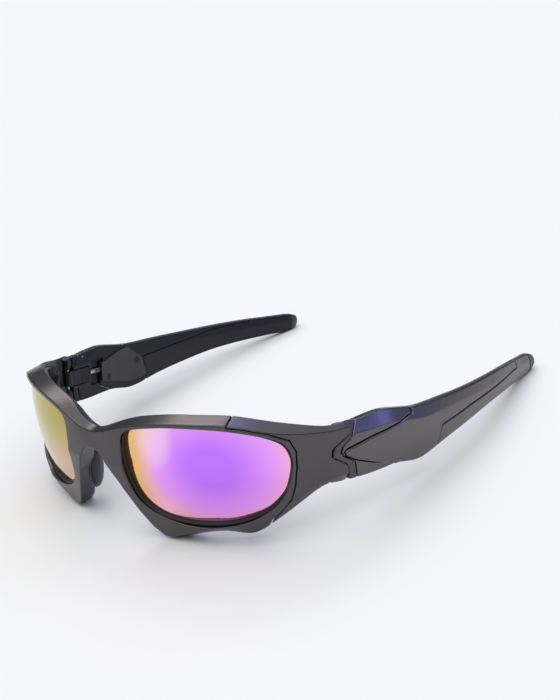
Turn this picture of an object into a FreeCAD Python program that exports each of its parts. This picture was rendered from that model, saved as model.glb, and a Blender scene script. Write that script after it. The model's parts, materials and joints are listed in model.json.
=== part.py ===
# Wraparound sport sunglasses: a front frame with two spherical lenses, outer cheeks,
# chevron hinge links, and two arms built from a bracket, a shell, a grip and a tip cap.
# Pieces are drawn in the worn pose (X to the wearer's left, Y back along the arms, Z up),
# then one placement tips the whole pair back so that it rests on its rims and arm tips.
import FreeCAD, Part
import Sketcher
import math
import os

V = FreeCAD.Vector
DEG = math.pi / 180.0

doc = FreeCAD.newDocument("sunglasses")

# ---------------------------------------------------------------- driving dimensions
DIMENSIONS = [
    ("lens_radius", 66.1),          # outer curve of both lenses
    ("lens_thick", 2.0),
    ("lens_centre_x", 10.3),        # centre of the left lens's sphere
    ("lens_centre_y", 39.2),
    ("lens_centre_z", 37.3),
    ("lens_lip", 0.7),              # how far the lens runs under the frame
    ("gasket_thick", 1.2),
    ("seam_gap", 0.2),              # between pieces of one body
    ("hinge_gap", 0.3),             # between frame and link
    ("link_gap", 0.5),              # between link and arm
    ("fold_pin_x", 63.2),
    ("fold_pin_y", 12.0),
    ("fold_pin_bottom", 23.4),
    ("fold_pin_length", 14.2),
    ("link_pin_x", 64.2),
    ("link_pin_y", 19.6),
    ("link_pin_bottom", 23.6),
    ("link_pin_length", 14.6),
    ("pin_radius", 0.8),
    ("knuckle_radius", 1.8),
    ("tongue_low", 28.2),
    ("tongue_high", 33.8),
    ("bore_radius", 1.3),           # holds the link's plunger and spring
    ("plunger_radius", 1.05),
    ("plunger_length", 3.6),
    ("spring_radius", 0.9),
    ("spring_wire", 0.2),
    ("spring_length", 7.4),
    ("screw_radius", 0.6),
    ("screw_head_radius", 1.15),
    ("screw_head_thick", 0.6),
    ("screw_length", 2.8),
]
sheet = doc.addObject("Spreadsheet::Sheet", "Dimensions")
for row, (alias, value) in enumerate(DIMENSIONS, start=1):
    sheet.set("A%d" % row, alias)
    sheet.set("B%d" % row, str(value))
    sheet.setAlias("B%d" % row, alias)
doc.recompute()


def dim(alias):
    """Read one driving dimension back from the sheet."""
    return float(sheet.get(alias))


# ---------------------------------------------------------------- the lens's own axes
LENS_CENTRE = V(dim("lens_centre_x"), dim("lens_centre_y"), dim("lens_centre_z"))
LENS_TURN = 24.6 * DEG              # the lens faces this far outboard
LENS_DROOP = 12.1 * DEG             # and this far down
OUTWARD = V(
    math.sin(LENS_TURN) * math.cos(LENS_DROOP),
    -math.cos(LENS_TURN) * math.cos(LENS_DROOP),
    -math.sin(LENS_DROOP),
)
OUTBOARD = V(math.cos(LENS_TURN), math.sin(LENS_TURN), 0)
UPWARD = OUTWARD.cross(OUTBOARD)
LENS_MIDDLE = LENS_CENTRE + OUTWARD * dim("lens_radius")


def lens_point(across, up, out):
    """A point in the lens's axes: across (outboard), up, and out along its normal."""
    return LENS_MIDDLE + OUTBOARD * across + UPWARD * up + OUTWARD * out


def grown(points, gap):
    """Move every side of a closed outline outwards by gap, keeping its corners sharp."""
    count = len(points)
    turning = sum(
        points[i - 1][0] * points[i][1] - points[i][0] * points[i - 1][1] for i in range(count)
    )
    way = gap * math.copysign(1.0, turning)
    moved = []
    for i in range(count):
        back = V(points[i][0] - points[i - 1][0], points[i][1] - points[i - 1][1], 0).normalize()
        ahead = points[(i + 1) % count]
        on = V(ahead[0] - points[i][0], ahead[1] - points[i][1], 0).normalize()
        share = way / (1.0 + back.dot(on))
        moved.append((
            points[i][0] + share * (back.y + on.y),
            points[i][1] - share * (back.x + on.x),
        ))
    return moved


def outline_prism(points, smooth=False, grow=0.0, back=-40.0, front=30.0):
    """Extrude an outline drawn across the lens, grown by grow, from depth back to front."""
    outline = grown(points, grow) if grow else points
    corners = [lens_point(across, up, back) for across, up in outline]
    if smooth:
        curve = Part.BSplineCurve()
        curve.interpolate(Points=corners, PeriodicFlag=True)
        wire = Part.Wire([curve.toShape()])
    else:
        wire = Part.makePolygon(corners + corners[:1])
    return Part.Face(wire).extrude(OUTWARD * (front - back))


# Outline of the lens opening as (outboard, up), from the nose corner over the brow.
EYE_OUTLINE = [
    (-25.9, 7.4), (-24.3, 11.5), (-20.3, 13.4), (-11.4, 15.4), (-3.0, 16.2), (4.9, 16.3),
    (12.4, 15.6), (19.4, 14.0), (24.7, 11.2), (26.9, 6.2), (26.5, 0.8), (24.5, -5.0),
    (19.0, -10.8), (10.5, -14.8), (0.9, -16.5), (-9.0, -16.6), (-16.0, -14.9),
    (-21.2, -11.2), (-24.4, -5.0), (-25.8, 1.2),
]
# Seam between the frame and its outer cheek, from below the rim up and over the brow.
CHEEK_SEAM = [
    (18.0, -30.0), (18.6, -17.8), (20.4, -14.0), (23.7, -10.4), (26.5, -6.6), (27.7, -2.0),
    (28.2, 3.3), (28.1, 8.4), (26.4, 12.2), (21.0, 15.0), (14.0, 16.7), (9.3, 17.1),
    (9.3, 18.6), (12.0, 21.0), (12.0, 30.0),
]
CHEEK_REGION = CHEEK_SEAM + [(70.0, 30.0), (70.0, -30.0)]


# ---------------------------------------------------------------- the frame's sections
def sphere_drop(height):
    """How far the lens's sphere falls back from its equator at a height."""
    radius = dim("lens_radius")
    return math.sqrt(radius ** 2 - (height - LENS_CENTRE.z) ** 2) - radius


def section(side, across, turn, track):
    """One closed section: each point is (depth proud of the lens's sphere, height)."""
    radius = dim("lens_radius")
    base_y = LENS_CENTRE.y - math.sqrt(radius ** 2 - (across - LENS_CENTRE.x) ** 2)
    points = []
    for proud, height in track:
        depth = sphere_drop(height) + proud
        x = across + depth * math.sin(turn * DEG)
        y = base_y - depth * math.cos(turn * DEG)
        points.append(V(side * x, y, height))
    return Part.makePolygon(points + points[:1])


# Each row: position across, turn of the section, then the points
# crest, brow ridge, middle, shelf ridge, bottom, rear bottom, rear middle, rear top.
FRAME_SECTIONS = [
    (0.0, 0.0, [(0.4, 34.5), (3.3, 33.4), (4.6, 24.0), (4.6, 6.0), (3.8, 0.8),
                (-3.0, 1.0), (-3.0, 24.0), (-2.4, 33.2)]),
    (7.0, 0.0, [(-0.3, 36.4), (2.7, 34.9), (3.3, 24.0), (4.0, 5.0), (3.4, 0.5),
                (-3.6, 1.0), (-3.6, 24.0), (-3.4, 35.0)]),
    (14.0, 3.2, [(-2.4, 39.2), (2.0, 37.2), (2.4, 24.0), (3.7, 2.4), (2.9, 0.0),
                 (-4.0, 0.8), (-4.6, 24.0), (-4.8, 37.8)]),
    (22.0, 10.2, [(-3.5, 41.0), (1.6, 39.2), (1.6, 24.0), (3.2, 1.3), (2.0, 0.0),
                  (-4.0, 1.2), (-5.0, 24.0), (-5.2, 39.4)]),
    (30.0, 17.3, [(-3.8, 42.1), (1.5, 40.4), (1.4, 24.0), (2.8, 3.8), (1.0, 2.2),
                  (-4.0, 3.4), (-5.0, 24.0), (-5.2, 40.6)]),
    (38.0, 24.7, [(-4.0, 42.6), (1.5, 41.0), (1.4, 24.0), (2.8, 6.4), (0.8, 4.8),
                  (-4.0, 6.0), (-5.0, 24.0), (-5.4, 41.1)]),
    (46.0, 32.7, [(-3.9, 42.9), (1.5, 41.2), (1.4, 24.0), (2.6, 8.8), (0.8, 6.0),
                  (-4.0, 7.4), (-5.2, 24.0), (-5.6, 41.4)]),
    (51.5, 38.6, [(-3.5, 42.4), (1.5, 40.3), (1.4, 24.0), (2.2, 10.8), (0.8, 5.6),
                  (-4.2, 7.6), (-5.4, 24.0), (-5.8, 40.9)]),
    (55.5, 43.1, [(-3.2, 41.7), (1.2, 39.4), (1.3, 25.0), (1.6, 13.4), (0.8, 8.6),
                  (-4.4, 10.4), (-5.8, 25.0), (-6.0, 40.0)]),
    (60.0, 48.7, [(-3.1, 40.8), (0.4, 38.6), (0.6, 26.0), (0.9, 17.0), (0.2, 13.6),
                  (-5.0, 14.8), (-6.2, 26.0), (-6.4, 39.2)]),
    (64.0, 54.3, [(-3.4, 39.8), (-0.9, 38.1), (-0.8, 28.0), (-0.7, 20.4), (-1.4, 18.0),
                  (-6.0, 19.0), (-7.0, 28.0), (-7.0, 38.4)]),
    (67.4, 59.7, [(-4.2, 39.1), (-2.3, 37.9), (-2.2, 30.0), (-2.2, 22.8), (-3.0, 20.6),
                  (-7.0, 21.4), (-7.8, 30.0), (-7.6, 38.0)]),
    (71.4, 67.5, [(-6.0, 38.7), (-4.4, 37.8), (-4.3, 30.0), (-4.4, 24.0), (-5.2, 22.0),
                  (-8.6, 22.6), (-9.2, 30.0), (-9.0, 37.8)]),
]


def frame_blank():
    """The whole front as one smooth bar, hinge to hinge, before it is cut."""
    left = [section(1, *row) for row in FRAME_SECTIONS]
    right = [section(-1, *row) for row in FRAME_SECTIONS[:0:-1]]
    return Part.makeLoft(right + left, True, False)


# ---------------------------------------------------------------- the arm's sections
# Each row: y, outer face x, top, upper facet, lower facet, bottom, thickness.
ARM_SECTIONS = [
    (4.0, 64.4, 38.8, 35.4, 30.6, 21.4, 5.0),
    (9.0, 66.1, 38.8, 35.4, 30.8, 21.3, 5.0),
    (15.5, 67.6, 38.8, 35.4, 31.0, 21.2, 5.5),
    (22.0, 68.8, 39.5, 35.6, 31.0, 21.2, 5.9),
    (29.0, 69.8, 40.0, 35.8, 30.6, 21.6, 6.0),
    (36.0, 70.2, 39.2, 35.2, 30.0, 21.7, 5.6),
    (44.0, 70.5, 38.1, 34.2, 29.2, 20.6, 5.2),
    (56.0, 70.5, 38.0, 34.0, 28.4, 22.5, 4.8),
    (71.6, 69.7, 38.1, 34.5, 29.5, 25.4, 4.3),
    (90.0, 67.8, 38.4, 35.1, 31.0, 28.2, 4.1),
    (108.4, 64.7, 38.5, 35.5, 32.0, 29.6, 4.0),
    (124.9, 61.4, 38.2, 35.5, 32.5, 30.2, 3.9),
    (132.2, 60.2, 37.5, 35.4, 33.2, 31.0, 3.6),
    (134.8, 59.7, 36.4, 35.2, 33.8, 32.4, 2.6),
]


def arm_blank(proud):
    """The whole arm as one faceted bar, its outer face raised by proud."""
    wires = []
    for y, outer, top, upper, lower, bottom, thick in ARM_SECTIONS:
        inner = outer - thick
        middle = (upper + lower) / 2
        shape = [
            (inner + 0.2 * thick, top - 0.1), (outer - 0.4 * thick + proud, top),
            (outer - 0.2 + proud, upper), (outer + proud, lower),
            (outer - 0.24 * thick + proud, bottom), (inner + 0.16 * thick, bottom + 0.2),
            (inner, middle - 0.16 * (top - bottom)), (inner, middle + 0.12 * (top - bottom)),
        ]
        points = [V(x, y, z) for x, z in shape]
        wires.append(Part.makePolygon(points + points[:1]))
    return Part.makeLoft(wires, True, False)


def along_arm(y, column):
    """One column of the arm's sections at a distance y, straight between sections."""
    for near, far in zip(ARM_SECTIONS, ARM_SECTIONS[1:]):
        if y <= far[0]:
            part = (y - near[0]) / (far[0] - near[0])
            return near[column] + part * (far[column] - near[column])
    return ARM_SECTIONS[-1][column]


def outer_x(y):
    return along_arm(y, 1)


def inner_x(y):
    return along_arm(y, 1) - along_arm(y, 6)


def slab(start, end, face, low, high):
    """A layer that follows a face of the arm, from low to high across it."""
    wires = []
    stops = [start] + [row[0] for row in ARM_SECTIONS if start < row[0] < end] + [end]
    for y in stops:
        near = face(y) + low
        far = face(y) + high
        corners = [V(near, y, 10), V(far, y, 10), V(far, y, 50), V(near, y, 50)]
        wires.append(Part.makePolygon(corners + corners[:1]))
    return Part.makeLoft(wires, True, True)


def side_prism(points):
    """Extrude an outline given as (y, z) straight across the left side."""
    corners = [V(40, y, z) for y, z in points]
    return Part.Face(Part.makePolygon(corners + corners[:1])).extrude(V(50, 0, 0))


# Rear edge of the cheek: a chevron that points forward, from above to below.
CHEVRON = [
    (13.3, 44.0), (13.3, 38.2), (13.9, 36.0), (8.1, 32.4), (7.5, 31.1), (7.7, 29.4),
    (12.6, 26.7), (13.8, 24.7), (14.4, 22.7), (15.0, 14.0),
]
# Rear edge of the link, which follows the chevron one band behind it.
LINK_REAR = [
    (17.0, 44.0), (17.0, 38.5), (13.4, 34.1), (10.6, 32.2), (10.1, 30.7), (11.1, 29.3),
    (16.0, 26.6), (17.4, 22.2), (17.8, 14.0),
]
# The shell's pointed nose on the outside of the bracket, and the rest of the arm.
NOSE_OUTLINE = [
    (11.6, 30.4), (12.6, 31.2), (22.4, 33.3), (34.6, 35.0), (41.6, 36.5), (44.0, 36.5),
    (44.0, 22.6), (33.6, 22.6), (24.6, 24.5), (16.0, 27.4), (12.4, 29.2),
]
GRIP_OUTSIDE = [
    (55.4, 14.0), (55.9, 23.3), (57.0, 29.3), (76.4, 32.0), (92.0, 33.5), (111.3, 35.4),
    (116.6, 35.7), (116.6, 44.0), (160.0, 44.0), (160.0, 14.0),
]
GRIP_INSIDE = [
    (54.0, 14.0), (53.3, 24.3), (50.9, 32.0), (74.3, 34.4), (88.9, 36.8), (109.3, 37.5),
    (112.3, 44.0), (160.0, 44.0), (160.0, 14.0),
]
PLATE_OUTLINE = [
    (28.4, 26.8), (28.4, 34.0), (38.4, 36.7), (43.0, 37.3), (50.2, 32.2), (52.6, 24.6),
    (43.2, 23.6), (38.2, 24.8),
]
CAP_START = 130.2
PLATE_SCREWS = [(32.0, 27.9), (47.4, 31.4)]


def cylinder(radius, length, base, direction=V(0, 0, 1)):
    return Part.makeCylinder(radius, length, base, direction)


def biggest(shape):
    """The largest solid of a cut, which drops slivers left beside it."""
    return max(shape.Solids, key=lambda solid: solid.Volume)


# ---------------------------------------------------------------- left-side pieces
def sphere_shell(outer, inner):
    ball = Part.makeSphere(outer, LENS_CENTRE)
    return ball.cut(Part.makeSphere(inner, LENS_CENTRE))


def make_gasket():
    rear = dim("lens_radius") - dim("lens_thick")
    ring = outline_prism(EYE_OUTLINE, True, dim("lens_lip"), -20.0, 10.0)
    hole = outline_prism(EYE_OUTLINE, True, -0.5, -30.0, 20.0)
    shell = sphere_shell(rear, rear - dim("gasket_thick"))
    return ring.cut(hole).common(shell)


def lens_cavity():
    """The room cut in the frame for the lens and the gasket behind it."""
    rear = dim("lens_radius") - dim("lens_thick") - dim("gasket_thick")
    blank = outline_prism(EYE_OUTLINE, True, dim("lens_lip"), -20.0, 10.0)
    return blank.common(sphere_shell(dim("lens_radius"), rear))


def nose_arch():
    """The gap for the nose: an arch that widens to the rear."""
    half = [
        (0.0, 27.9), (3.4, 27.2), (6.0, 24.4), (9.0, 18.2), (11.0, 13.0), (12.8, 8.6),
        (15.2, 4.0), (17.6, 1.6), (20.0, 0.0), (21.0, -6.0),
    ]
    wires = []
    for y, flare in ((-36.0, -2.6), (-27.0, 0.0), (-19.0, 2.6), (-4.0, 7.0)):
        side = []
        for x, z in half:
            share = min(1.0, max(0.0, (27.9 - z) / 6.0))
            side.append((x + flare * share, z))
        points = [V(x, y, z) for x, z in side]
        points += [V(-x, y, z) for x, z in side[:0:-1]]
        wires.append(Part.makePolygon(points + points[:1]))
    return Part.makeLoft(wires, True, True)


# Tabs that carry the cheek: each is (outboard, up) on the back of the rim.
TABS = [(27.2, 8.0), (26.0, -2.6)]
TAB_FLOOR = -12.6


def tab_box(spot, grow=0.0):
    across, up = spot
    half = 2.2 + grow
    points = [
        (across - 5.0, up - half), (across + half, up - half),
        (across + half, up + half), (across - 5.0, up + half),
    ]
    return outline_prism(points, False, 0.0, -30.0, TAB_FLOOR + 2.4 + grow)


def screw_room():
    """The holes that the screws sit in, open to the rear."""
    rooms = []
    for across, up in TABS:
        seat = lens_point(across, up, TAB_FLOOR)
        rooms.append(cylinder(dim("screw_head_radius") + 0.1, 6.0, seat - OUTWARD * 5.35, OUTWARD))
        rooms.append(cylinder(dim("screw_radius"), dim("screw_length") + 1.0, seat, OUTWARD))
    return rooms


def fold_axis(radius, low, high):
    return cylinder(radius, high - low, V(dim("fold_pin_x"), dim("fold_pin_y"), low))


def link_axis(radius, low, high):
    return cylinder(radius, high - low, V(dim("link_pin_x"), dim("link_pin_y"), low))


def make_link(core):
    """The chevron band, its knuckle on the fold pin and its tongue to the link pin."""
    gap = dim("hinge_gap")
    front = [(y + gap, z) for y, z in CHEVRON]
    band = core.common(side_prism(front + LINK_REAR[::-1]))
    low = dim("tongue_low")
    high = dim("tongue_high")
    radius = dim("knuckle_radius")
    knuckle = fold_axis(radius, low, high)
    eye = link_axis(1.7, low, high)
    fold = V(dim("fold_pin_x"), dim("fold_pin_y"), low)
    rear = V(dim("link_pin_x"), dim("link_pin_y"), low)
    web = [
        fold + V(-1.5, 0, 0), fold + V(1.3, -1.0, 0), rear + V(1.6, 0, 0), rear + V(1.6, 2.3, 0),
        rear + V(-1.7, 2.3, 0), rear + V(-1.7, -2.0, 0),
    ]
    tongue = Part.Face(Part.makePolygon(web + web[:1])).extrude(V(0, 0, high - low))
    link = band.fuse([knuckle, eye, tongue])
    # Above and below the knuckle the cheek's own horns turn about the pin.
    horn = radius + gap
    link = link.cut([fold_axis(horn, 10, low), fold_axis(horn, high, 50)])
    # Nothing ahead of the pin's inner side, which would swing into the cheek.
    inside = Part.makeBox(8, 8, 40, V(fold.x - 8, fold.y - 8, 10)).cut(fold_axis(radius, 10, 50))
    link = link.cut(inside)
    holes = [fold_axis(dim("pin_radius") + 0.03, 10, 50), link_axis(dim("pin_radius") + 0.03, 10, 50)]
    return biggest(link.cut(holes).removeSplitter())


def make_cheek(blank, tabs, rooms):
    gap = dim("hinge_gap")
    cheek = blank.common(outline_prism(CHEEK_REGION, False, 0.0, -60.0, 40.0))
    cheek = cheek.cut(side_prism(CHEVRON + [(40.0, 14.0), (40.0, 44.0)]))
    cheek = biggest(cheek)
    # The horns are rounded about the pin, and the knuckle turns between them.
    radius = dim("knuckle_radius")
    pin = V(dim("fold_pin_x"), dim("fold_pin_y"), 10)
    corner = Part.makeBox(8, 9.4, 40, pin + V(-8, -3.4, 0)).cut(fold_axis(radius, 10, 50))
    low = dim("tongue_low") - gap
    high = dim("tongue_high") + gap
    cheek = cheek.cut([corner, fold_axis(radius + gap, low, high)])
    start = dim("fold_pin_bottom")
    end = start + dim("fold_pin_length")
    # The other arm's tip rests in a shallow recess when that arm is folded.
    recess = Part.makeBox(3.4, 5.9, 8.6, V(58.0, 4.6, 30.0))
    cheek = cheek.cut([fold_axis(dim("pin_radius"), start, end), recess] + tabs + rooms)
    return biggest(cheek)


# The link's spring and its plunger lie along the arm's front, behind the link's tongue.
SPRING_HEIGHT = 31.0
SPRING_RUN = V(0.12, 1.0, 0.0).normalize()
SPRING_FOOT = V(dim("link_pin_x") + 0.5, dim("link_pin_y") + 2.35, SPRING_HEIGHT)


def spring_bore():
    length = dim("plunger_length") + dim("spring_length") + 0.5
    return cylinder(dim("bore_radius"), length, SPRING_FOOT, SPRING_RUN)


def plate_screw_room():
    """Holes for the two screws that hold the inner plate, with room for their heads."""
    rooms = []
    for y, z in PLATE_SCREWS:
        seat = V(inner_x(y) - 0.7, y, z)
        rooms.append(cylinder(dim("screw_head_radius"), dim("screw_head_thick"), seat, V(1, 0, 0)))
        rooms.append(cylinder(dim("screw_radius"), dim("screw_length"), seat, V(1, 0, 0)))
    return rooms


def make_bracket(core, nose):
    gap = dim("link_gap")
    front = [(y + gap, z) for y, z in LINK_REAR]
    rear = [(33.2, 14.0), (33.2, 22.4), (28.0, 25.0), (28.0, 34.2), (41.6, 36.2), (41.6, 44.0)]
    bracket = core.common(side_prism(front + rear)).cut(nose)
    low = dim("tongue_low") - 0.25
    high = dim("tongue_high") + 0.25
    link_x = dim("link_pin_x")
    link_y = dim("link_pin_y")
    slot = Part.makeBox(14, 14.6, high - low, V(link_x - 12, link_y - 12, low))
    pocket = Part.makeBox(3.6, 6.4, 9.6, V(link_x - 2.8, link_y + 3.6, 26.2))
    start = dim("link_pin_bottom")
    pin = link_axis(dim("pin_radius"), start, start + dim("link_pin_length"))
    swing = fold_axis(dim("knuckle_radius") + dim("hinge_gap"), 10, 50)
    return biggest(bracket.cut([slot, pocket, spring_bore(), pin, swing, make_plate(0.1)]))


def make_nose_pad():
    """A soft crescent on the side of the nose arch, thickest in its middle."""
    wires = []
    for z, x, y, long_half, thick_half in (
        (23.5, 10.6, -18.6, 1.2, 0.7), (21.0, 11.4, -18.2, 2.6, 1.5), (16.5, 13.3, -16.6, 3.3, 2.0),
        (11.5, 16.0, -14.4, 3.2, 1.9), (7.6, 18.6, -12.2, 2.2, 1.3), (6.0, 19.8, -11.2, 1.0, 0.6),
    ):
        ring = Part.Ellipse(V(0, 0, 0), long_half, thick_half).toShape()
        ring.rotate(V(0, 0, 0), V(0, 0, 1), 70)
        ring.translate(V(x, y, z))
        wires.append(Part.Wire([ring]))
    return Part.makeLoft(wires, True, False)


def make_spring():
    """The link's spring: a helix of round wire behind the plunger."""
    turns = 9
    length = dim("spring_length")
    radius = dim("spring_radius")
    helix = Part.makeHelix(length / turns, length, radius)
    ring = Part.Circle(V(radius, 0, 0), V(0, 1, 0), dim("spring_wire")).toShape()
    coil = Part.Wire(helix.Edges).makePipeShell([Part.Wire([ring])], True, True)
    start = SPRING_FOOT + SPRING_RUN * (dim("plunger_length") + 0.3)
    coil.Placement = FreeCAD.Placement(start, FreeCAD.Rotation(V(0, 0, 1), SPRING_RUN))
    return coil


def make_shell(raised, wedge, grip_room, plate_room):
    """The arm's outer shell: a pointed nose over the bracket, then the full arm."""
    nose = raised.common(wedge)
    rear = [
        (33.4, 14.0), (33.4, 22.6), (28.2, 25.2), (28.2, 34.0), (41.8, 36.0), (41.8, 44.0),
        (CAP_START - dim("seam_gap"), 44.0), (CAP_START - dim("seam_gap"), 14.0),
    ]
    arm = raised.common(side_prism(rear))
    rooms = grip_room + [plate_room, spring_bore()] + plate_screw_room()
    return biggest(nose.fuse(arm).cut(rooms).removeSplitter())


def grip_regions(grow):
    """Where the grip wraps the arm: lower on the outside, higher on the inside."""
    outside = side_prism(grown(GRIP_OUTSIDE, grow)).common(slab(40, 137, outer_x, -2.2, 8.0))
    inside = side_prism(grown(GRIP_INSIDE, grow)).common(slab(40, 137, outer_x, -12.0, -2.2))
    return [outside, inside]


def make_grip(raised):
    outside, inside = grip_regions(0.0)
    grip = raised.common(outside.fuse(inside))
    front = side_prism([(30.0, 10.0), (CAP_START, 10.0), (CAP_START, 50.0), (30.0, 50.0)])
    return biggest(grip.common(front).removeSplitter())


def make_cap(raised):
    start = CAP_START + dim("seam_gap") / 2
    return biggest(raised.common(side_prism([(start, 10.0), (160.0, 10.0), (160.0, 50.0), (start, 50.0)])))


def make_plate(grow=0.0):
    """The flat six-sided cover on the inner face of the arm, let in a little."""
    depth = slab(26.0, 56.0, inner_x, -0.6 - grow, 0.4 + grow)
    outline = grown(PLATE_OUTLINE, grow) if grow else PLATE_OUTLINE
    return side_prism(outline).common(depth)


# ---------------------------------------------------------------- document objects
def add_feature(label, shape):
    """A freeform piece, which no sketch or primitive describes."""
    piece = doc.addObject("Part::Feature", label)
    piece.Label = label
    piece.Shape = shape
    return piece


def add_pin(label, prefix):
    """A plain hinge pin bound to the sheet."""
    pin = doc.addObject("Part::Cylinder", label)
    pin.Label = label
    pin.setExpression("Radius", "Dimensions.pin_radius - 0.02")
    pin.setExpression("Height", "Dimensions.%s_length" % prefix)
    pin.Placement.Base = V(dim(prefix + "_x"), dim(prefix + "_y"), dim(prefix + "_bottom"))
    return pin


def origin_plane(body, role):
    return next(item for item in body.Origin.OriginFeatures if item.Role == role)


def add_disc(body, name, radius, height):
    """A round sketch on the body's floor plane, padded: both sizes from the sheet."""
    sketch = body.newObject("Sketcher::SketchObject", name + "_sketch")
    sketch.AttachmentSupport = [(origin_plane(body, "XY_Plane"), "")]
    sketch.MapMode = "FlatFace"
    sketch.addGeometry(Part.Circle(V(0, 0, 0), V(0, 0, 1), 1.0), False)
    sketch.addConstraint(Sketcher.Constraint("Coincident", 0, 3, -1, 1))
    sketch.addConstraint(Sketcher.Constraint("Radius", 0, 1.0))
    sketch.setExpression("Constraints[1]", radius)
    pad = body.newObject("PartDesign::Pad", name)
    pad.Profile = sketch
    pad.setExpression("Length", height)
    doc.recompute()
    return pad


def add_screw(label, place):
    """A screw with a flat slotted head, its head's top at the body's origin."""
    body = doc.addObject("PartDesign::Body", label)
    add_disc(body, label + "_head", "Dimensions.screw_head_radius", "Dimensions.screw_head_thick")
    add_disc(body, label + "_shank", "Dimensions.screw_radius", "Dimensions.screw_length")
    sketch = body.newObject("Sketcher::SketchObject", label + "_slot_sketch")
    sketch.AttachmentSupport = [(origin_plane(body, "XY_Plane"), "")]
    sketch.MapMode = "FlatFace"
    corners = [V(-2, -0.16, 0), V(2, -0.16, 0), V(2, 0.16, 0), V(-2, 0.16, 0)]
    for start, end in zip(corners, corners[1:] + corners[:1]):
        sketch.addGeometry(Part.LineSegment(start, end), False)
    doc.recompute()
    slot = body.newObject("PartDesign::Pocket", label + "_slot")
    slot.Profile = sketch
    slot.Length = 0.3
    slot.Reversed = True
    doc.recompute()
    body.Placement = place
    return body


def add_plunger(label):
    """A pin with a rounded nose that presses on the end of the link's tongue."""
    body = doc.addObject("PartDesign::Body", label)
    pad = add_disc(body, label + "_pin", "Dimensions.plunger_radius", "Dimensions.plunger_length")
    rim = next(
        "Edge%d" % (i + 1) for i, edge in enumerate(pad.Shape.Edges)
        if edge.BoundBox.ZMax < 0.01
    )
    nose = body.newObject("PartDesign::Fillet", label + "_nose")
    nose.Base = (pad, [rim])
    nose.Radius = 0.4
    doc.recompute()
    body.Label = label
    body.Placement = FreeCAD.Placement(SPRING_FOOT, FreeCAD.Rotation(V(0, 0, 1), SPRING_RUN))
    return body


def add_group(label, members):
    group = doc.addObject("Part::Compound", label)
    group.Label = label
    group.Links = members
    return group


def add_lens(label):
    """The lens: what two concentric balls leave inside the rim's outline."""
    front = doc.addObject("Part::Sphere", label + "_front")
    front.setExpression("Radius", "Dimensions.lens_radius")
    rear = doc.addObject("Part::Sphere", label + "_rear")
    rear.setExpression("Radius", "Dimensions.lens_radius - Dimensions.lens_thick")
    for ball in (front, rear):
        ball.Placement.Base = LENS_CENTRE
    bowl = doc.addObject("Part::Cut", label + "_bowl")
    bowl.Base = front
    bowl.Tool = rear
    prism = outline_prism(EYE_OUTLINE, True, dim("lens_lip") - 0.05, -20.0, 10.0)
    blank = add_feature(label + "_blank", prism)
    lens = doc.addObject("Part::Common", label)
    lens.Label = label
    lens.Base = bowl
    lens.Tool = blank
    return lens


def mirrored(shape):
    return shape.mirror(V(0, 0, 0), V(1, 0, 0))


def both(shapes):
    return shapes + [mirrored(shape) for shape in shapes]


def make_frame(blank, tabs, rooms):
    region = outline_prism(CHEEK_REGION, False, dim("seam_gap"), -60.0, 40.0)
    frame = blank.cut(both([region])).fuse(both(tabs))
    eye = outline_prism(EYE_OUTLINE, True)
    frame = frame.cut(both([eye, lens_cavity()] + rooms) + [nose_arch()])
    return biggest(frame)


# ---------------------------------------------------------------- the rest pose
def lowest(points, tilt):
    return min(z * math.cos(tilt) - y * math.sin(tilt) for y, z in points)


def rest_tilt(front_points, tip_points):
    """The tilt at which the rims and the arm tips touch one flat surface."""
    low, high = 0.0, 30.0 * DEG
    for _ in range(40):
        middle = (low + high) / 2
        if lowest(tip_points, middle) > lowest(front_points, middle):
            low = middle
        else:
            high = middle
    return (low + high) / 2


def skin_points(shape):
    return [(point.y, point.z) for point in shape.tessellate(0.02)[0]]


CONTACT_FLAT = 0.12                 # the contact spots are worn flat by this much

blank = frame_blank()
core = arm_blank(0.0)
raised = arm_blank(0.45)
tabs = [blank.common(tab_box(spot)) for spot in TABS]
tab_rooms = [tab_box(spot, 0.1) for spot in TABS]
rooms = screw_room()
frame_shape = make_frame(blank, tabs, rooms)
cap_shape = make_cap(raised)
pad_shape = make_nose_pad().cut(frame_shape)

tilt = rest_tilt(skin_points(frame_shape), skin_points(cap_shape))
turn = FreeCAD.Rotation(V(1, 0, 0), -tilt / DEG)
floor = lowest(skin_points(cap_shape), tilt) + CONTACT_FLAT
below = Part.makeBox(300, 400, 40, V(-150, -200, floor - 40))
below.rotate(V(0, 0, 0), V(1, 0, 0), tilt / DEG)
frame_shape = biggest(frame_shape.cut(below))
cap_shape = biggest(cap_shape.cut(below))

front_y = min(y * math.cos(tilt) + z * math.sin(tilt) for y, z in skin_points(frame_shape))
back_y = max(y * math.cos(tilt) + z * math.sin(tilt) for y, z in skin_points(cap_shape))
REST = FreeCAD.Placement(V(0, -(front_y + back_y) / 2, -floor), turn)

# ---------------------------------------------------------------- the pieces
wedge = side_prism(NOSE_OUTLINE).common(slab(6.0, 44.0, outer_x, -1.0, 6.0))
wedge_room = side_prism(grown(NOSE_OUTLINE, 0.25)).common(slab(6.0, 44.0, outer_x, -1.25, 6.0))
left = [
    add_lens("left_lens"),
    add_feature("left_lens_gasket", biggest(make_gasket().cut(rooms))),
    add_feature("left_nose_pad", biggest(pad_shape)),
    add_feature("left_outer_cheek", make_cheek(blank, tab_rooms, rooms)),
    add_feature("left_hinge_link", make_link(core)),
    add_pin("left_fold_pin", "fold_pin"),
    add_pin("left_link_pin", "link_pin"),
    add_feature("left_temple_bracket", make_bracket(core, wedge_room)),
    add_feature("left_temple_shell", make_shell(raised, wedge, grip_regions(0.15), make_plate(0.1))),
    add_feature("left_ear_grip", make_grip(raised)),
    add_feature("left_tip_cap", cap_shape),
    add_feature("left_inner_plate", make_plate().cut(plate_screw_room())),
    add_plunger("left_link_plunger"),
    add_feature("left_link_spring", make_spring()),
]
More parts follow.
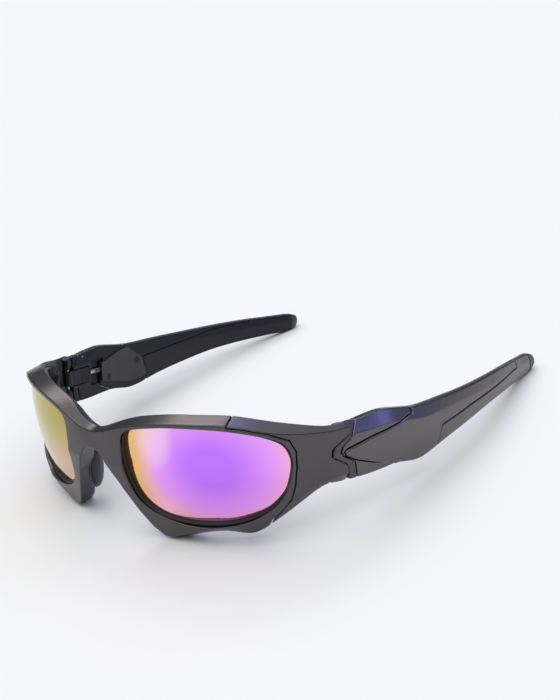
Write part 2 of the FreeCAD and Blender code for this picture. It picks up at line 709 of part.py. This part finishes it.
for piece in left:
    piece.Placement = REST.multiply(piece.Placement)

doc.recompute()
cheek_seats = [
    FreeCAD.Placement(lens_point(across, up, TAB_FLOOR), FreeCAD.Rotation(V(0, 0, 1), OUTWARD))
    for across, up in TABS
]
plate_seats = [
    FreeCAD.Placement(V(inner_x(y) - 0.7, y, z), FreeCAD.Rotation(V(0, 0, 1), V(1, 0, 0)))
    for y, z in PLATE_SCREWS
]
for label, seats in (("cheek_screw", cheek_seats), ("plate_screw", plate_seats)):
    members = [
        add_screw("left_%s_%d" % (label, i + 1), REST.multiply(seat))
        for i, seat in enumerate(seats)
    ]
    left.append(add_group("left_%ss" % label, members))

doc.recompute()
frame = add_feature("front_frame", frame_shape)
frame.Placement = REST
pieces = [frame] + left
for piece in left:
    twin = doc.addObject("Part::Mirroring", piece.Label.replace("left_", "right_"))
    twin.Label = piece.Label.replace("left_", "right_")
    twin.Source = piece
    twin.Normal = V(1, 0, 0)
    pieces.append(twin)
doc.recompute()

# ---------------------------------------------------------------- checks and files
for item in doc.Objects:
    if "Invalid" in item.State or "Error" in item.State:
        raise RuntimeError("%s did not build" % item.Label)
os.makedirs("parts", exist_ok=True)
for piece in pieces:
    shape = piece.Shape
    if shape.isNull() or not shape.isValid():
        raise RuntimeError("%s has no valid shape" % piece.Label)
    shape.exportStep("parts/%s.step" % piece.Label)
    box = shape.BoundBox
    print("%-22s %2d solid %8.1f mm3" % (piece.Label, len(shape.Solids), shape.Volume), box)
print("tilt", tilt / DEG, "rest offset", REST.Base)
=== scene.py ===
"""Wraparound sport sunglasses: mirror lenses, satin front and cheeks, faceted folding arms.

Every piece is drawn in metres in the frame's own axes: X to the wearer's left, Y back along
the arms, Z up from the table. Panel: 3D view sidebar, tab "Sunglasses".
"""
import json
import math

import bmesh
import bpy
import numpy as np
from mathutils import Matrix, Vector


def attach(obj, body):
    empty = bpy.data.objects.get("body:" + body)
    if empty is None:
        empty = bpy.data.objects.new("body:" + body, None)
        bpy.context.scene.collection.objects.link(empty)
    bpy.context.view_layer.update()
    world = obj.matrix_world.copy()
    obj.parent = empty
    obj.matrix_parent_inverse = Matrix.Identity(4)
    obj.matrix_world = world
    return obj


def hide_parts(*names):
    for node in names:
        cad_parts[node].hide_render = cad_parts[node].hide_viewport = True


bl_info = {
    "name": "Wraparound sport sunglasses",
    "version": (1, 0, 0),
    "blender": (4, 5, 0),
    "location": "3D View > Sidebar > Sunglasses",
    "description": "Builds the visible pieces of a pair of mirror-lens sport sunglasses",
    "category": "Object",
}

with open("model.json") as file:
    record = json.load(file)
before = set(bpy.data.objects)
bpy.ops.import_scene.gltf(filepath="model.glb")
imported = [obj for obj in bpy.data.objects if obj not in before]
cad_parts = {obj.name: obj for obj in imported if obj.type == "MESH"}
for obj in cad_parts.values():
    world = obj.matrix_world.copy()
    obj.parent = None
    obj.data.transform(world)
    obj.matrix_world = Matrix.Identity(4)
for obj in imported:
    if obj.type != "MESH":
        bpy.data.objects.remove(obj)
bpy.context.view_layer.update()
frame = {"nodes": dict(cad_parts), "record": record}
MM = 0.001
SIDES = ("left", "right")

# The worn pose is tipped back about X by this angle, then moved, to rest on the table.
REST_TILT = math.radians(11.575)
REST_SHIFT = np.array([0.0, -57.933, -3.863])
# The left lens in the worn pose, in mm: its sphere's centre and outer radius, and the turn
# and droop of its axis.
LENS_CENTRE = np.array([10.3, 39.2, 37.3])
LENS_RADIUS = 66.1
LENS_TURN = math.radians(24.6)
LENS_DROOP = math.radians(12.1)
OUTWARD = np.array([
    math.sin(LENS_TURN) * math.cos(LENS_DROOP),
    -math.cos(LENS_TURN) * math.cos(LENS_DROOP),
    -math.sin(LENS_DROOP),
])
OUTBOARD = np.array([math.cos(LENS_TURN), math.sin(LENS_TURN), 0.0])
UPWARD = np.cross(OUTWARD, OUTBOARD)
# Outline of the lens opening, outboard and up from the lens's middle, in mm.
EYE_OUTLINE = np.array([
    (-25.9, 7.4), (-24.3, 11.5), (-20.3, 13.4), (-11.4, 15.4), (-3.0, 16.2), (4.9, 16.3),
    (12.4, 15.6), (19.4, 14.0), (24.7, 11.2), (26.9, 6.2), (26.5, 0.8), (24.5, -5.0),
    (19.0, -10.8), (10.5, -14.8), (0.9, -16.5), (-9.0, -16.6), (-16.0, -14.9),
    (-21.2, -11.2), (-24.4, -5.0), (-25.8, 1.2),
])
# Points along the lens's edge and the seal's bead.
EDGE_STEPS = 240

# The middle of the wearer's head, in metres. A face whose normal leans away from it by less
# than LEAN_IN is plastic, and by more than LEAN_OUT is paint.
HEAD_MIDDLE = (0.0, -0.010, 0.0)
LEAN_IN = -0.45
LEAN_OUT = -0.15

# On the left lens, in metres outboard and up from its middle: the centre and half size of the
# rings of colour, partly a painted sheen, and of the pale patch by the nose, a painted reflection.
RINGS_AT = (0.004, 0.004)
RINGS_HALF = (0.0215, 0.0175)
REFLECTION_PATCH_AT = (-0.0145, 0.0115)
REFLECTION_PATCH_HALF = (0.0065, 0.0100)

# The camera's focal length in mm, its place in metres and its own axes.
FOCAL_LENGTH = 59.14
CAMERA_AT = (0.26601, -0.26844, 0.17851)
CAMERA_RIGHT = Vector((0.750345, 0.646684, -0.137049))
CAMERA_UP = Vector((-0.146253, 0.364587, 0.919612))
CAMERA_BACK = Vector((0.644664, -0.669983, 0.368145))
FLOOR_HALF = 15.0
# The sky's strength near the horizon and overhead, and the soft lights: name, direction
# towards the light, spread in degrees, power and colour.
SKY_LOW = 0.16
SKY_HIGH = 1.08
SUNS = (
    ("key", (-0.10, -0.36, 0.90), 60.0, 0.80, (1.0, 0.98, 0.96)),
    ("brow", (-0.58, 0.45, 0.68), 20.0, 0.30, (1.0, 0.90, 0.92)),
    ("blue", (-0.36, 0.72, 0.60), 16.0, 0.34, (0.26, 0.28, 1.0)),
    ("low blue", (0.66, 0.70, 0.27), 18.0, 0.26, (0.30, 0.32, 1.0)),
)


# ---------------------------------------------------------------- settings
class LensSettings(bpy.types.PropertyGroup):
    radius: bpy.props.FloatProperty(
        name="Sphere radius", description="Outer curve of both lenses, in mm",
        default=LENS_RADIUS, min=50.0)
    thickness: bpy.props.FloatProperty(
        name="Thickness", description="Lens thickness, in mm", default=2.0, min=1.0)
    lip: bpy.props.FloatProperty(
        name="Lip", description="How far the lens runs under the rim, in mm", default=0.62)
    centre_colour: bpy.props.FloatVectorProperty(
        name="Centre", description="Mirror colour in the middle", subtype="COLOR",
        default=(0.56, 0.20, 1.0))
    ring_colour: bpy.props.FloatVectorProperty(
        name="Ring", description="Mirror colour around the middle", subtype="COLOR",
        default=(0.86, 0.36, 0.98))
    rim_colour: bpy.props.FloatVectorProperty(
        name="Rim", description="Mirror colour near the rim", subtype="COLOR",
        default=(1.0, 0.50, 0.60))
    nose_colour: bpy.props.FloatVectorProperty(
        name="Nose side", description="Mirror colour on the nose side", subtype="COLOR",
        default=(0.86, 0.52, 0.20))


class PaintSettings(bpy.types.PropertyGroup):
    cell: bpy.props.FloatProperty(
        name="Cell", description="Finest detail of the moulded pieces", default=0.00018,
        unit="LENGTH", min=0.0001)
    rounds: bpy.props.IntProperty(
        name="Rounding", description="Rounds of smoothing on moulded edges", default=12, min=1)
    paint: bpy.props.FloatVectorProperty(
        name="Paint", description="Satin gunmetal of the front and the arms", subtype="COLOR",
        default=(0.098, 0.092, 0.093))
    rubber: bpy.props.FloatVectorProperty(
        name="Rubber", description="Blue-black of the grips", subtype="COLOR",
        default=(0.010, 0.009, 0.016))


# ---------------------------------------------------------------- shapes
def to_rest(points, side):
    """Worn millimetres to the frame's metres: mirror for the right side, tip back, shift."""
    x, y, z = np.moveaxis(points, -1, 0)
    c, s = math.cos(REST_TILT), math.sin(REST_TILT)
    flip = 1.0 if side == "left" else -1.0
    tipped = np.stack([flip * x, y * c + z * s, z * c - y * s], axis=-1)
    return (tipped + REST_SHIFT) * MM


def closed_curve(points, count):
    """A smooth closed curve through points: a periodic Catmull-Rom cubic, count samples."""
    total = len(points)
    at = np.arange(count) * total / count
    low = at.astype(int)
    t = (at - low)[:, None]
    p0, p1, p2, p3 = (points[(low + k) % total] for k in (-1, 0, 1, 2))
    bend = 2 * p0 - 5 * p1 + 4 * p2 - p3
    twist = 3 * (p1 - p2) + p3 - p0
    return p1 + 0.5 * t * (p2 - p0 + t * (bend + t * twist))


def grown(curve, gap):
    """A closed plane curve moved outward by gap along its own normal."""
    along = np.roll(curve, -1, axis=0) - np.roll(curve, 1, axis=0)
    normal = np.stack([-along[:, 1], along[:, 0]], axis=1)
    normal /= np.linalg.norm(normal, axis=1)[:, None]
    return curve + gap * normal


def ring_mesh(name, rings, poles):
    """A mesh from rings of points, each closed on itself, joined one to the next.

    rings is rows by columns by 3. With poles the first and last rings close on their middle;
    without, the last ring joins the first, as on a torus."""
    rows, columns = rings.shape[:2]
    points = rings.reshape(-1, 3)
    row = np.arange(rows if not poles else rows - 1)[:, None]
    col = np.arange(columns)[None, :]
    after = (row + 1) % rows
    beside = (col + 1) % columns
    corners = (
        row * columns + col, row * columns + beside,
        after * columns + beside, after * columns + col,
    )
    quads = np.stack(np.broadcast_arrays(*corners), axis=-1).reshape(-1, 4)
    faces = quads.tolist()
    if poles:
        ends = np.stack([rings[0].mean(0), rings[-1].mean(0)])
        points = np.concatenate([points, ends])
        first, last = rows * columns, rows * columns + 1
        c = np.arange(columns)
        n = (c + 1) % columns
        faces += np.stack([np.full(columns, first), n, c], axis=1).tolist()
        tail = (rows - 1) * columns
        faces += np.stack([np.full(columns, last), tail + c, tail + n], axis=1).tolist()
    mesh = bpy.data.meshes.new(name)
    mesh.from_pydata(points.tolist(), [], faces)
    mesh.validate()
    obj = bpy.data.objects.new(name, mesh)
    bpy.context.scene.collection.objects.link(obj)
    work = bmesh.new()
    work.from_mesh(mesh)
    bmesh.ops.recalc_face_normals(work, faces=work.faces[:])
    work.to_mesh(mesh)
    work.free()
    mesh.shade_smooth()
    return obj


def on_sphere(flat, radius):
    """Points across and up of the lens's axis, lifted to a sphere about the lens's centre."""
    out = np.sqrt(radius ** 2 - (flat ** 2).sum(-1))
    return LENS_CENTRE + flat[..., :1] * OUTBOARD + flat[..., 1:] * UPWARD + out[..., None] * OUTWARD


def seal_bead():
    """The seal's visible bead: an oval profile carried round the lens's opening, on its face.

    Its width grows towards the bottom and the nose. Its height is a sine of the turn about
    the profile, plus a wall that stands up along the rim. Sizes are in mm."""
    gap, narrow, wider_low, wider_nose = 0.12, 0.45, 0.60, 0.45
    bottom, nose_end = 16.6, 26.0
    lift, half_height, wall_height = 0.08, 0.28, 1.1
    path = grown(closed_curve(EYE_OUTLINE, EDGE_STEPS), gap)
    inward = path - grown(path, 1.0)
    low = np.clip(-path[:, 1] / bottom, 0.0, 1.0)
    nose = np.clip(-path[:, 0] / nose_end, 0.0, 1.0)
    width = narrow + wider_low * low + wider_nose * nose
    turn = np.linspace(0.0, 2.0 * math.pi, 20, endpoint=False)[:, None]
    across = (np.cos(turn) * 0.5 + 0.5) * width
    flat = path[None] + inward[None] * across[..., None]
    base = on_sphere(flat, LENS_RADIUS)
    wall = np.clip(np.sin(turn), 0.0, 1.0) * (0.5 - 0.5 * np.cos(turn))
    height = lift + half_height * np.sin(turn) + wall_height * wall
    return base + height[..., None] * OUTWARD


def merged_copy(node, name):
    """A copy of a CAD node's mesh with its loose triangles joined into one surface."""
    source = frame["nodes"][node]
    mesh = source.data.copy()
    mesh.name = name
    work = bmesh.new()
    work.from_mesh(mesh)
    bmesh.ops.remove_doubles(work, verts=work.verts[:], dist=2e-6)
    bmesh.ops.dissolve_degenerate(work, edges=work.edges[:], dist=2e-6)
    bmesh.ops.recalc_face_normals(work, faces=work.faces[:])
    work.to_mesh(mesh)
    work.free()
    mesh.materials.clear()
    obj = bpy.data.objects.new(name, mesh)
    bpy.context.scene.collection.objects.link(obj)
    return obj


def softened(node, name, material, cell, rounds, share=1.0):
    """A moulded piece: the node's solid resampled in cells and smoothed, which rounds its edges.

    The rounding is about the cell, in metres, times the square root of the rounds of
    smoothing. A share under 1 keeps that part of the faces."""
    obj = merged_copy(node, name)
    remesh = obj.modifiers.new("resample", "REMESH")
    remesh.mode = "VOXEL"
    remesh.voxel_size = cell
    remesh.use_smooth_shade = True
    smooth = obj.modifiers.new("round", "SMOOTH")
    smooth.factor = 0.5
    smooth.iterations = rounds
    if share < 1.0:
        thin = obj.modifiers.new("thin", "DECIMATE")
        thin.ratio = share
    obj.data.materials.append(material)
    finished(obj, node)


def finished(obj, node):
    """Gives a new piece its node's body and place in the object, and hides the node."""
    record = frame["record"]
    body = next(name for name, nodes in record["behaviour"]["bodies"].items() if node in nodes)
    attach(obj, body)
    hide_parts(node)


# ---------------------------------------------------------------- shader nodes
def new_material(name):
    """A material and its new node tree, or the existing material and no tree."""
    material = bpy.data.materials.get(name)
    if material:
        return material, None
    material = bpy.data.materials.new(name)
    material.use_nodes = True
    return material, material.node_tree


def texture_point(tree):
    """The point being shaded, on Object coordinates, in metres."""
    return tree.nodes.new("ShaderNodeTexCoord").outputs["Object"]


def vector_maths(tree, kind):
    """A vector node that does one sum."""
    node = tree.nodes.new("ShaderNodeVectorMath")
    node.operation = kind
    return node


def maths(tree, kind, *values):
    """One sum on numbers, each a socket or a plain number."""
    node = tree.nodes.new("ShaderNodeMath")
    node.operation = kind
    for socket, value in zip(node.inputs, values):
        if isinstance(value, (int, float)):
            socket.default_value = value
        else:
            tree.links.new(value, socket)
    return node.outputs[0]


def scaled(tree, value, low, high, target_low=0.0, target_high=1.0):
    """A smooth step of value from low..high to target_low..target_high."""
    step = tree.nodes.new("ShaderNodeMapRange")
    step.interpolation_type = "SMOOTHSTEP"
    for socket, number in zip(step.inputs[1:5], (low, high, target_low, target_high)):
        socket.default_value = number
    tree.links.new(value, step.inputs[0])
    return step.outputs[0]


def mixed(tree, factor, first, second):
    """A colour mixed from two, each a socket or a plain colour."""
    node = tree.nodes.new("ShaderNodeMix")
    node.data_type = "RGBA"
    tree.links.new(factor, node.inputs[0])
    for socket, value in ((node.inputs[6], first), (node.inputs[7], second)):
        if isinstance(value, bpy.types.NodeSocket):
            tree.links.new(value, socket)
        else:
            socket.default_value = (*value, 1.0)
    return node.outputs[2]


def grain(tree, point, scale, strength, distance):
    """A fine bump of noise: scale in cells per metre, distance in metres."""
    noise = tree.nodes.new("ShaderNodeTexNoise")
    noise.inputs["Scale"].default_value = scale
    noise.inputs["Detail"].default_value = 2.0
    bump = tree.nodes.new("ShaderNodeBump")
    bump.inputs["Strength"].default_value = strength
    bump.inputs["Distance"].default_value = distance
    tree.links.new(point, noise.inputs["Vector"])
    tree.links.new(noise.outputs["Fac"], bump.inputs["Height"])
    return bump.outputs["Normal"]


def along(tree, point, direction, origin):
    """How far a point lies along a direction from an origin, in metres."""
    moved = vector_maths(tree, "SUBTRACT")
    moved.inputs[1].default_value = origin
    dot = vector_maths(tree, "DOT_PRODUCT")
    dot.inputs[1].default_value = direction
    tree.links.new(point, moved.inputs[0])
    tree.links.new(moved.outputs[0], dot.inputs[0])
    return dot.outputs["Value"]


def facing(tree, point, normal):
    """How far a normal leans away from the middle of the head, from -1 to 1."""
    away = vector_maths(tree, "SUBTRACT")
    away.inputs[1].default_value = HEAD_MIDDLE
    flat = vector_maths(tree, "MULTIPLY")
    flat.inputs[1].default_value = (1.0, 1.0, 0.0)
    unit = vector_maths(tree, "NORMALIZE")
    dot = vector_maths(tree, "DOT_PRODUCT")
    tree.links.new(point, away.inputs[0])
    tree.links.new(away.outputs[0], flat.inputs[0])
    tree.links.new(flat.outputs[0], unit.inputs[0])
    tree.links.new(unit.outputs[0], dot.inputs[0])
    tree.links.new(normal, dot.inputs[1])
    return dot.outputs["Value"]


def oval(tree, out, high, middle, half):
    """Squared distance from an oval's middle: 0 there and 1 on its edge."""
    squares = []
    for place, centre, size in zip((out, high), middle, half):
        share = maths(tree, "DIVIDE", maths(tree, "SUBTRACT", place, centre), size)
        squares.append(maths(tree, "POWER", share, 2.0))
    return maths(tree, "ADD", *squares)


# ---------------------------------------------------------------- finishes
def plain(name, colour, roughness, metallic=0.0, bump=None, specular=0.5):
    """One colour, on the shader's own sockets, with a fine grain where bump gives one."""
    material, tree = new_material(name)
    if tree is None:
        return material
    shader = tree.nodes["Principled BSDF"]
    shader.inputs["Base Color"].default_value = (*colour, 1.0)
    shader.inputs["Roughness"].default_value = roughness
    shader.inputs["Metallic"].default_value = metallic
    shader.inputs["Specular IOR Level"].default_value = specular
    if bump:
        tree.links.new(grain(tree, texture_point(tree), *bump), shader.inputs["Normal"])
    return material


def painted_shell(name, lift=1.0):
    """Satin metallic paint on what faces out, blue-black plastic on what faces the wearer.

    A face counts as outside when its own normal leans away from the middle of the head.
    The paint's colour is multiplied by lift; a lift over 1 gives a lighter copy of the paint, a
    painted reflection of the pale floor."""
    settings = bpy.context.scene.sunglasses_paint
    material, tree = new_material(name)
    if tree is None:
        return material
    shader = tree.nodes["Principled BSDF"]
    place = tree.nodes.new("ShaderNodeTexCoord")
    lean = facing(tree, place.outputs["Object"], place.outputs["Normal"])
    outside = scaled(tree, lean, LEAN_IN, LEAN_OUT)
    colour = mixed(tree, outside, tuple(settings.rubber), tuple(lift * c for c in settings.paint))
    rough = scaled(tree, lean, LEAN_IN, LEAN_OUT, 0.42, 0.27)
    tree.links.new(colour, shader.inputs["Base Color"])
    tree.links.new(outside, shader.inputs["Metallic"])
    tree.links.new(rough, shader.inputs["Roughness"])
    shader.inputs["Specular IOR Level"].default_value = 0.3
    fine = grain(tree, place.outputs["Object"], 5200.0, 0.10, 0.00003)
    tree.links.new(fine, shader.inputs["Normal"])
    return material


def grip_rubber():
    colour = bpy.context.scene.sunglasses_paint.rubber
    return plain("blue-black rubber", colour, 0.46, bump=(4200.0, 0.2, 0.00005))


def black_rubber():
    return plain("black rubber", (0.008, 0.008, 0.009), 0.6, bump=(3800.0, 0.2, 0.00004))


def cover_plastic():
    return plain("blue-black plastic", (0.018, 0.017, 0.027), 0.36, bump=(4200.0, 0.15, 0.00004))


def steel():
    return plain("turned steel", (0.42, 0.42, 0.44), 0.28, metallic=1.0)


def dark_steel():
    return plain("blackened steel", (0.020, 0.020, 0.024), 0.38, metallic=0.4)


def lens_axes(side):
    """The lens's middle, outboard and up directions in the frame, for one side."""
    top = LENS_CENTRE + LENS_RADIUS * OUTWARD
    middle = to_rest(top, side)
    across = to_rest(top + OUTBOARD, side) - middle
    up = to_rest(top + UPWARD, side) - middle
    return middle, across / MM, up / MM


def near_colours(tree, out, high):
    """The left lens: rings of colour outboard of the middle and gold by the nose, the coating's own
    hues laid out as painted sheen, and a pale patch that is a painted reflection.
    """
    settings = bpy.context.scene.sunglasses_lens
    # Rings and gold by the nose: painted sheen, the coating's shift of tint with the angle of view
    # laid down by place.
    reach = maths(tree, "SQRT", oval(tree, out, high, RINGS_AT, RINGS_HALF))
    first = scaled(tree, reach, 0.25, 0.95)
    inner = mixed(tree, first, tuple(settings.centre_colour), tuple(settings.ring_colour))
    body = mixed(tree, scaled(tree, reach, 0.80, 1.20), inner, tuple(settings.rim_colour))
    gold = mixed(tree, scaled(tree, out, -0.013, -0.023), body, tuple(settings.nose_colour))
    # Painted reflection: a pale pink patch by the nose, lightening the lens colour by up to half.
    painted_reflection = scaled(tree, oval(tree, out, high, REFLECTION_PATCH_AT, REFLECTION_PATCH_HALF), 1.4, 0.0, 0.0, 0.50)
    return mixed(tree, painted_reflection, gold, (1.0, 0.76, 0.86))


def far_colours(tree, out, high):
    """The right lens: olive-gold above, tan below, rosier outboard: the coating's own hues, laid out
    as painted sheen and reflection as they look from one side.
    """
    tan = mixed(tree, scaled(tree, high, 0.010, -0.012), (0.46, 0.40, 0.10), (0.72, 0.47, 0.34))
    return mixed(tree, scaled(tree, out, 0.006, 0.024), tan, (0.70, 0.42, 0.36))


def mirror_coat(side):
    """The mirror: a smooth metal whose colour is painted by place on the lens; the hues are the
    coating's own, but how they shift across each lens is painted sheen as seen from one side.
    """
    material, tree = new_material(side + " mirror coat")
    if tree is None:
        return material
    shader = tree.nodes["Principled BSDF"]
    point = texture_point(tree)
    middle, across, up = lens_axes(side)
    out = along(tree, point, across, middle)
    high = along(tree, point, up, middle)
    colours = near_colours if side == "left" else far_colours
    tree.links.new(colours(tree, out, high), shader.inputs["Base Color"])
    shader.inputs["Metallic"].default_value = 1.0
    shader.inputs["Roughness"].default_value = 0.07
    return material


# ---------------------------------------------------------------- pieces
class PieceOperator:
    """What every piece's operator shares: it builds both sides and says it finished."""
    bl_options = {"REGISTER", "UNDO"}

    def execute(self, context):
        self.build(context)
        return {"FINISHED"}


class FrontFrame(PieceOperator, bpy.types.Operator):
    """The one-piece front with its two rims and the bridge"""
    bl_idname = "sunglasses.front_frame"
    bl_label = "Front frame"

    def build(self, context):
        paint = context.scene.sunglasses_paint
        softened("front_frame", "front", painted_shell("satin gunmetal"),
                 cell=paint.cell, rounds=paint.rounds, share=0.4)


class Lenses(PieceOperator, bpy.types.Operator):
    """Both mirror lenses: polar grids on two concentric spheres, closed by a rim"""
    bl_idname = "sunglasses.lenses"
    bl_label = "Lenses"

    def build(self, context):
        settings = context.scene.sunglasses_lens
        edge = grown(closed_curve(EYE_OUTLINE, EDGE_STEPS), settings.lip)
        reach = np.linspace(0.02, 1.0, 44)[:, None, None] * edge
        front = on_sphere(reach, settings.radius)
        rear = on_sphere(reach[::-1], settings.radius - settings.thickness)
        rings = np.concatenate([front, rear])
        rows, columns = rings.shape[:2]
        # The faces from the edge on, and the last fan, belong to the rear.
        behind = np.arange((rows - 1) * columns) // columns >= len(front) - 1
        ends = np.repeat([False, True], columns)
        finish = np.concatenate([behind, ends]).astype(np.int32)
        for side in SIDES:
            obj = ring_mesh(side + "_lens_glass", to_rest(rings, side), True)
            obj.data.set_sharp_from_angle(angle=math.radians(50))
            obj.data.materials.append(mirror_coat(side))
            obj.data.materials.append(plain("smoke lens rear", (0.020, 0.016, 0.018), 0.06))
            obj.data.polygons.foreach_set("material_index", finish)
            finished(obj, side + "_lens")


class Gaskets(PieceOperator, bpy.types.Operator):
    """The black seals behind the lenses"""
    bl_idname = "sunglasses.gaskets"
    bl_label = "Lens gaskets"

    def build(self, context):
        for side in SIDES:
            softened(side + "_lens_gasket", side + "_seal", black_rubber(), cell=0.00020, rounds=2)
            bead = ring_mesh(side + "_seal_bead", to_rest(seal_bead(), side), False)
            bead.data.materials.append(black_rubber())
            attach(bead, "front")


class NosePads(PieceOperator, bpy.types.Operator):
    """The two soft nose pads"""
    bl_idname = "sunglasses.nose_pads"
    bl_label = "Nose pads"

    def build(self, context):
        for side in SIDES:
            softened(side + "_nose_pad", side + "_pad", grip_rubber(), cell=0.00025, rounds=4)


class Cheeks(PieceOperator, bpy.types.Operator):
    """The outer cheeks that carry the hinge horns"""
    bl_idname = "sunglasses.cheeks"
    bl_label = "Outer cheeks"

    def build(self, context):
        rounds = context.scene.sunglasses_paint.rounds
        for side in SIDES:
            softened(side + "_outer_cheek", side + "_cheek", painted_shell("satin gunmetal"),
                     cell=0.00022, rounds=rounds)


class Links(PieceOperator, bpy.types.Operator):
    """The chevron links between the cheeks and the arms"""
    bl_idname = "sunglasses.links"
    bl_label = "Hinge links"

    def build(self, context):
        for side in SIDES:
            softened(side + "_hinge_link", side + "_chevron", painted_shell("satin gunmetal"),
                     cell=0.00016, rounds=3)


class Arms(PieceOperator, bpy.types.Operator):
    """The arms' brackets, pointed shells, rubber grips, tips and inner covers"""
    bl_idname = "sunglasses.arms"
    bl_label = "Arms"

    def build(self, context):
        rounds = context.scene.sunglasses_paint.rounds
        for side in SIDES:
            # The arms' paint is the front's made 1.4 times lighter: a painted reflection of the pale
            # floor in their lower facets.
            paint = painted_shell("satin gunmetal arm, lightened as painted reflection", 1.4)
            softened(side + "_temple_bracket", side + "_bracket", paint, cell=0.00020, rounds=4)
            softened(side + "_temple_shell", side + "_shell", paint,
                     cell=0.00020, rounds=rounds + 14, share=0.8)
            softened(side + "_ear_grip", side + "_grip", paint,
                     cell=0.00020, rounds=rounds + 18, share=0.8)
            softened(side + "_tip_cap", side + "_tip", cover_plastic(), cell=0.00018, rounds=4)
            softened(side + "_inner_plate", side + "_cover", cover_plastic(), cell=0.00016, rounds=3)


class Hardware(PieceOperator, bpy.types.Operator):
    """Pins, screws, plungers and springs"""
    bl_idname = "sunglasses.hardware"
    bl_label = "Hardware"

    def build(self, context):
        bright = ("fold_pin", "link_pin", "link_plunger", "link_spring")
        dark = ("cheek_screws", "plate_screws")
        for side in SIDES:
            for part in bright + dark:
                materials = frame["nodes"][side + "_" + part].data.materials
                materials.clear()
                materials.append(steel() if part in bright else dark_steel())


class Studio(PieceOperator, bpy.types.Operator):
    """The camera, the pale floor and the soft lights"""
    bl_idname = "sunglasses.studio"
    bl_label = "Studio"

    def build(self, context):
        scene = context.scene
        scene.view_settings.view_transform = "Standard"
        data = bpy.data.cameras.new("camera")
        data.sensor_width = 36.0
        data.lens = FOCAL_LENGTH
        data.clip_start, data.clip_end = 0.01, 60.0
        camera = bpy.data.objects.new("camera", data)
        scene.collection.objects.link(camera)
        turn = Matrix((CAMERA_RIGHT, CAMERA_UP, CAMERA_BACK)).transposed().to_4x4()
        camera.matrix_world = Matrix.Translation(CAMERA_AT) @ turn
        scene.camera = camera

        corners = [
            (x * FLOOR_HALF, y * FLOOR_HALF, 0.0) for x, y in ((-1, -1), (1, -1), (1, 1), (-1, 1))
        ]
        mesh = bpy.data.meshes.new("floor")
        mesh.from_pydata(corners, [], [(0, 1, 2, 3)])
        floor = bpy.data.objects.new("floor", mesh)
        scene.collection.objects.link(floor)
        mesh.materials.append(plain("pale floor", (0.875, 0.885, 0.875), 0.85, specular=0.1))

        world = bpy.data.worlds.new("studio")
        scene.world = world
        world.use_nodes = True
        tree = world.node_tree
        place = tree.nodes.new("ShaderNodeTexCoord")
        split = tree.nodes.new("ShaderNodeSeparateXYZ")
        tree.links.new(place.outputs["Generated"], split.inputs[0])
        height = scaled(tree, split.outputs["Z"], 0.30, 0.85, SKY_LOW, SKY_HIGH)
        tree.links.new(height, tree.nodes["Background"].inputs["Strength"])
        tree.nodes["Background"].inputs["Color"].default_value = (0.97, 0.98, 1.0, 1.0)
        for name, towards, spread, power, colour in SUNS:
            lamp = bpy.data.lights.new(name, "SUN")
            lamp.angle = math.radians(spread)
            lamp.energy = power
            lamp.color = colour
            light = bpy.data.objects.new(name, lamp)
            light.rotation_euler = Vector(towards).to_track_quat("Z", "Y").to_euler()
            scene.collection.objects.link(light)


PIECES = (FrontFrame, Lenses, Gaskets, NosePads, Cheeks, Links, Arms, Hardware, Studio)


class SunglassesPanel(bpy.types.Panel):
    """Lists the pieces and their settings"""
    bl_idname = "VIEW3D_PT_sunglasses"
    bl_label = "Sunglasses"
    bl_space_type = "VIEW_3D"
    bl_region_type = "UI"
    bl_category = "Sunglasses"

    def draw(self, context):
        for settings in (context.scene.sunglasses_lens, context.scene.sunglasses_paint):
            for name in settings.bl_rna.properties.keys():
                if name not in ("rna_type", "name"):
                    self.layout.prop(settings, name)
        for piece in PIECES:
            self.layout.operator(piece.bl_idname)


CLASSES = (LensSettings, PaintSettings, *PIECES, SunglassesPanel)


def register():
    for each in CLASSES:
        bpy.utils.register_class(each)
    bpy.types.Scene.sunglasses_lens = bpy.props.PointerProperty(type=LensSettings)
    bpy.types.Scene.sunglasses_paint = bpy.props.PointerProperty(type=PaintSettings)


def unregister():
    del bpy.types.Scene.sunglasses_paint
    del bpy.types.Scene.sunglasses_lens
    for each in reversed(CLASSES):
        bpy.utils.unregister_class(each)


def main():
    register()
    for piece in PIECES:
        group, _, action = piece.bl_idname.partition(".")
        getattr(getattr(bpy.ops, group), action)()


if __name__ == "__main__":
    main()
